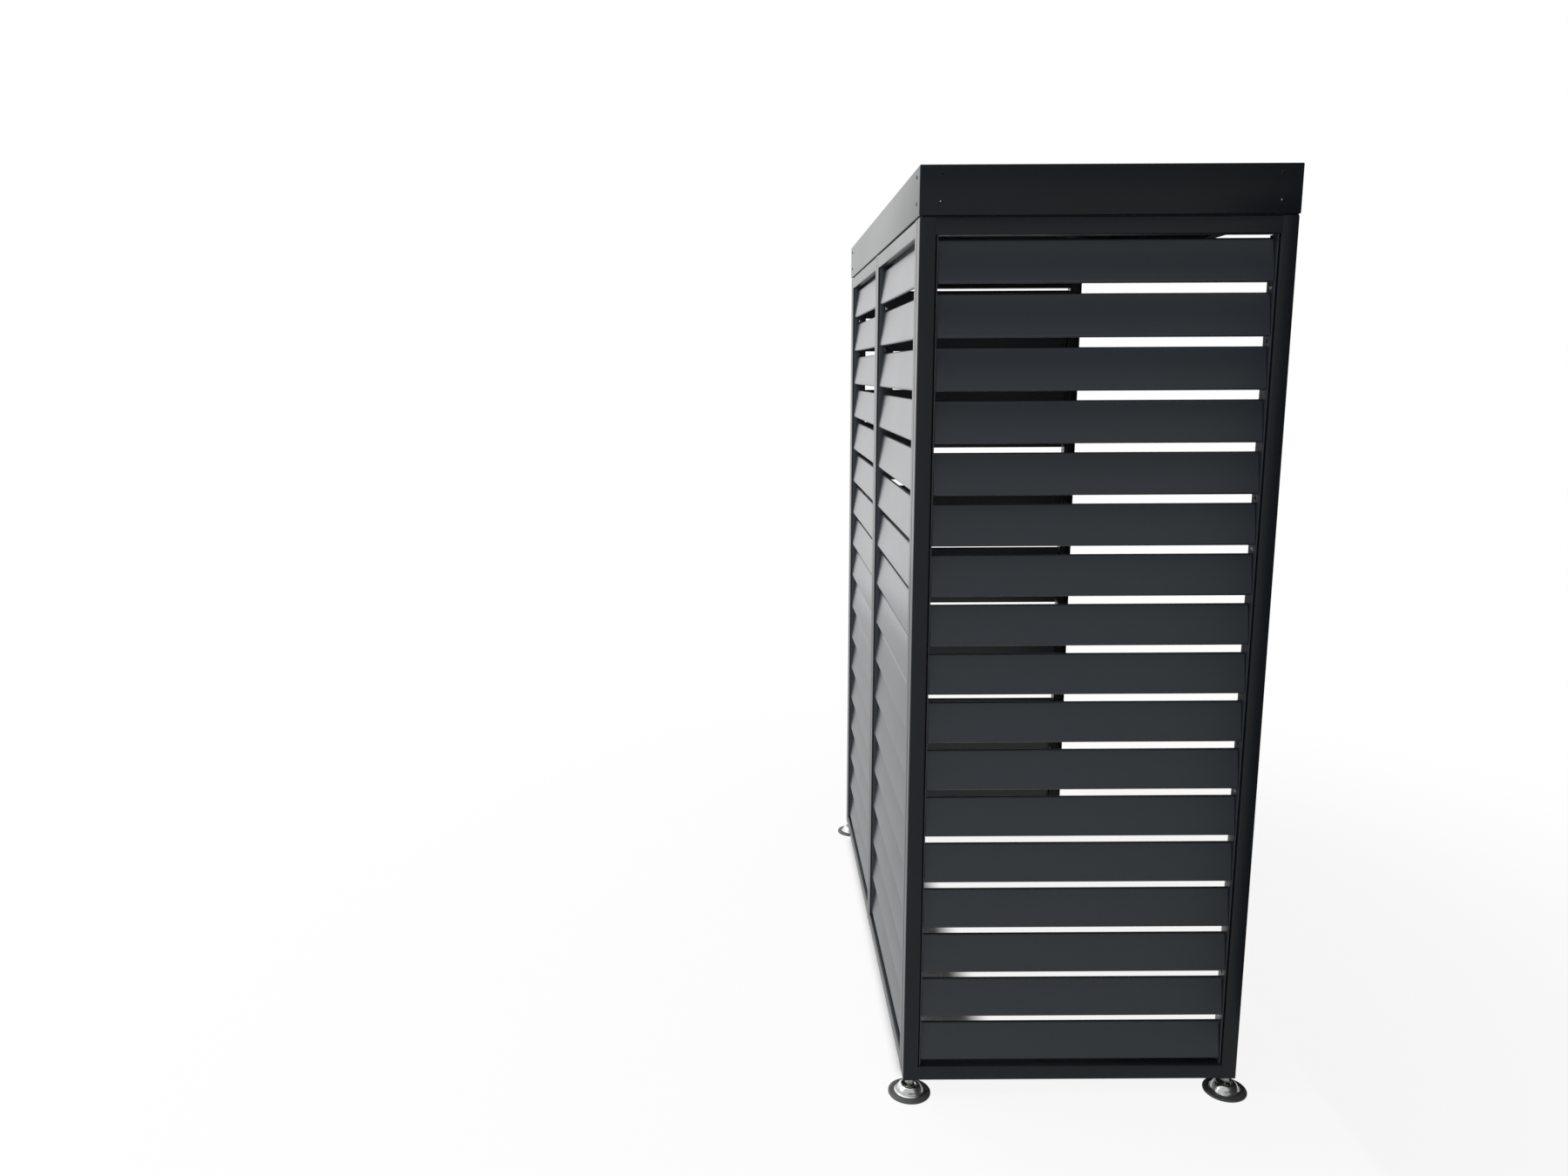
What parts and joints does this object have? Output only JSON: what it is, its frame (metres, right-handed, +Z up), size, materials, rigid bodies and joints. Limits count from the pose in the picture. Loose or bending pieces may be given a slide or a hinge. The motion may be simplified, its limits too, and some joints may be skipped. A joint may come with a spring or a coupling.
{
  "type": "air conditioner screen",
  "caption": "Louvred cover for an outdoor air conditioner unit: square tube panels with tilted slats on the front and sides, open back and floor, folded sheet lid and levelling feet.",
  "frame": {"origin": "on the ground, under the middle of the cover in both directions", "axes": "+Z up, +Y towards the open back and the wall, +X along the long front, to the right for someone who faces the front"},
  "size_m": [1.228, 0.612, 1.515],
  "materials": {
    "frame_coat": "satin anthracite powder coat",
    "slat_coat": "satin anthracite powder coat",
    "lid_coat": "satin anthracite powder coat",
    "bracket_metal": "bare mill finish",
    "black_steel": "black oxide",
    "black_rubber": "matt black",
    "foot_rubber": "satin dark grey",
    "chrome": "polished",
    "steel": "zinc plated"
  },
  "bodies": {
    "frame": {"front_left_left_stile": "frame_coat", "front_left_right_stile": "frame_coat", "front_left_top_rail": "frame_coat", "front_left_bottom_rail": "frame_coat", "front_left_slat_rack": "slat_coat", "front_right_left_stile": "frame_coat", "front_right_right_stile": "frame_coat", "front_right_top_rail": "frame_coat", "front_right_bottom_rail": "frame_coat", "front_right_slat_rack": "slat_coat", "left_side_left_stile": "frame_coat", "left_side_right_stile": "frame_coat", "left_side_top_rail": "frame_coat", "left_side_bottom_rail": "frame_coat", "left_side_slat_rack": "slat_coat", "right_side_left_stile": "frame_coat", "right_side_right_stile": "frame_coat", "right_side_top_rail": "frame_coat", "right_side_bottom_rail": "frame_coat", "right_side_slat_rack": "slat_coat", "front_left_corner_screw_1": "black_steel", "front_left_corner_screw_2": "black_steel", "front_left_corner_screw_3": "black_steel", "front_left_corner_screw_4": "black_steel", "front_right_corner_screw_1": "black_steel", "front_right_corner_screw_2": "black_steel", "front_right_corner_screw_3": "black_steel", "front_right_corner_screw_4": "black_steel", "mullion_screw_1": "black_steel", "mullion_screw_2": "black_steel", "mullion_screw_3": "black_steel", "mullion_screw_4": "black_steel", "lid": "lid_coat", "lid_seal": "black_rubber", "front_left_lid_bracket": "bracket_metal", "front_left_foot_insert": "black_steel", "front_right_lid_bracket": "bracket_metal", "front_right_foot_insert": "black_steel", "rear_left_lid_bracket": "bracket_metal", "rear_left_foot_insert": "black_steel", "rear_right_lid_bracket": "bracket_metal", "rear_right_foot_insert": "black_steel"},
    "front_left_stem": {"front_left_foot_stem": "steel"},
    "front_left_base": {"front_left_foot_dome": "chrome", "front_left_foot_pad": "foot_rubber"},
    "front_left_nut": {"front_left_foot_nut": "steel"},
    "front_right_stem": {"front_right_foot_stem": "steel"},
    "front_right_base": {"front_right_foot_dome": "chrome", "front_right_foot_pad": "foot_rubber"},
    "front_right_nut": {"front_right_foot_nut": "steel"},
    "rear_left_stem": {"rear_left_foot_stem": "steel"},
    "rear_left_base": {"rear_left_foot_dome": "chrome", "rear_left_foot_pad": "foot_rubber"},
    "rear_left_nut": {"rear_left_foot_nut": "steel"},
    "rear_right_stem": {"rear_right_foot_stem": "steel"},
    "rear_right_base": {"rear_right_foot_dome": "chrome", "rear_right_foot_pad": "foot_rubber"},
    "rear_right_nut": {"rear_right_foot_nut": "steel"}
  },
  "joints": [
    {"name": "front_left_foot_height", "type": "slide", "parent": "frame", "child": "front_left_stem", "axis": [0, 0, -1], "range_m": [0, 0.025]},
    {"name": "front_left_foot_tilt", "type": "hinge", "parent": "front_left_stem", "child": "front_left_base", "pos_m": [-0.57795, -0.27, 0.0103], "axis": [1, 0, 0], "range_deg": [-8, 8]},
    {"name": "front_left_foot_nut_spin", "type": "hinge", "parent": "frame", "child": "front_left_nut", "pos_m": [-0.57795, -0.27, 0.0237], "axis": [0, 0, 1], "range_deg": [0, 7200]},
    {"name": "front_right_foot_height", "type": "slide", "parent": "frame", "child": "front_right_stem", "axis": [0, 0, -1], "range_m": [0, 0.025]},
    {"name": "front_right_foot_tilt", "type": "hinge", "parent": "front_right_stem", "child": "front_right_base", "pos_m": [0.57795, -0.27, 0.0103], "axis": [1, 0, 0], "range_deg": [-8, 8]},
    {"name": "front_right_foot_nut_spin", "type": "hinge", "parent": "frame", "child": "front_right_nut", "pos_m": [0.57795, -0.27, 0.0237], "axis": [0, 0, 1], "range_deg": [0, 7200]},
    {"name": "rear_left_foot_height", "type": "slide", "parent": "frame", "child": "rear_left_stem", "axis": [0, 0, -1], "range_m": [0, 0.025]},
    {"name": "rear_left_foot_tilt", "type": "hinge", "parent": "rear_left_stem", "child": "rear_left_base", "pos_m": [-0.57795, 0.27, 0.0103], "axis": [1, 0, 0], "range_deg": [-8, 8]},
    {"name": "rear_left_foot_nut_spin", "type": "hinge", "parent": "frame", "child": "rear_left_nut", "pos_m": [-0.57795, 0.27, 0.0237], "axis": [0, 0, 1], "range_deg": [0, 7200]},
    {"name": "rear_right_foot_height", "type": "slide", "parent": "frame", "child": "rear_right_stem", "axis": [0, 0, -1], "range_m": [0, 0.025]},
    {"name": "rear_right_foot_tilt", "type": "hinge", "parent": "rear_right_stem", "child": "rear_right_base", "pos_m": [0.57795, 0.27, 0.0103], "axis": [1, 0, 0], "range_deg": [-8, 8]},
    {"name": "rear_right_foot_nut_spin", "type": "hinge", "parent": "frame", "child": "rear_right_nut", "pos_m": [0.57795, 0.27, 0.0237], "axis": [0, 0, 1], "range_deg": [0, 7200]}
  ],
  "couplings": [
    {"joint": "front_left_foot_nut_spin", "follows": "front_left_foot_height", "rad_per_m": 5026.5},
    {"joint": "front_right_foot_nut_spin", "follows": "front_right_foot_height", "rad_per_m": 5026.5},
    {"joint": "rear_left_foot_nut_spin", "follows": "rear_left_foot_height", "rad_per_m": 5026.5},
    {"joint": "rear_right_foot_nut_spin", "follows": "rear_right_foot_height", "rad_per_m": 5026.5}
  ]
}
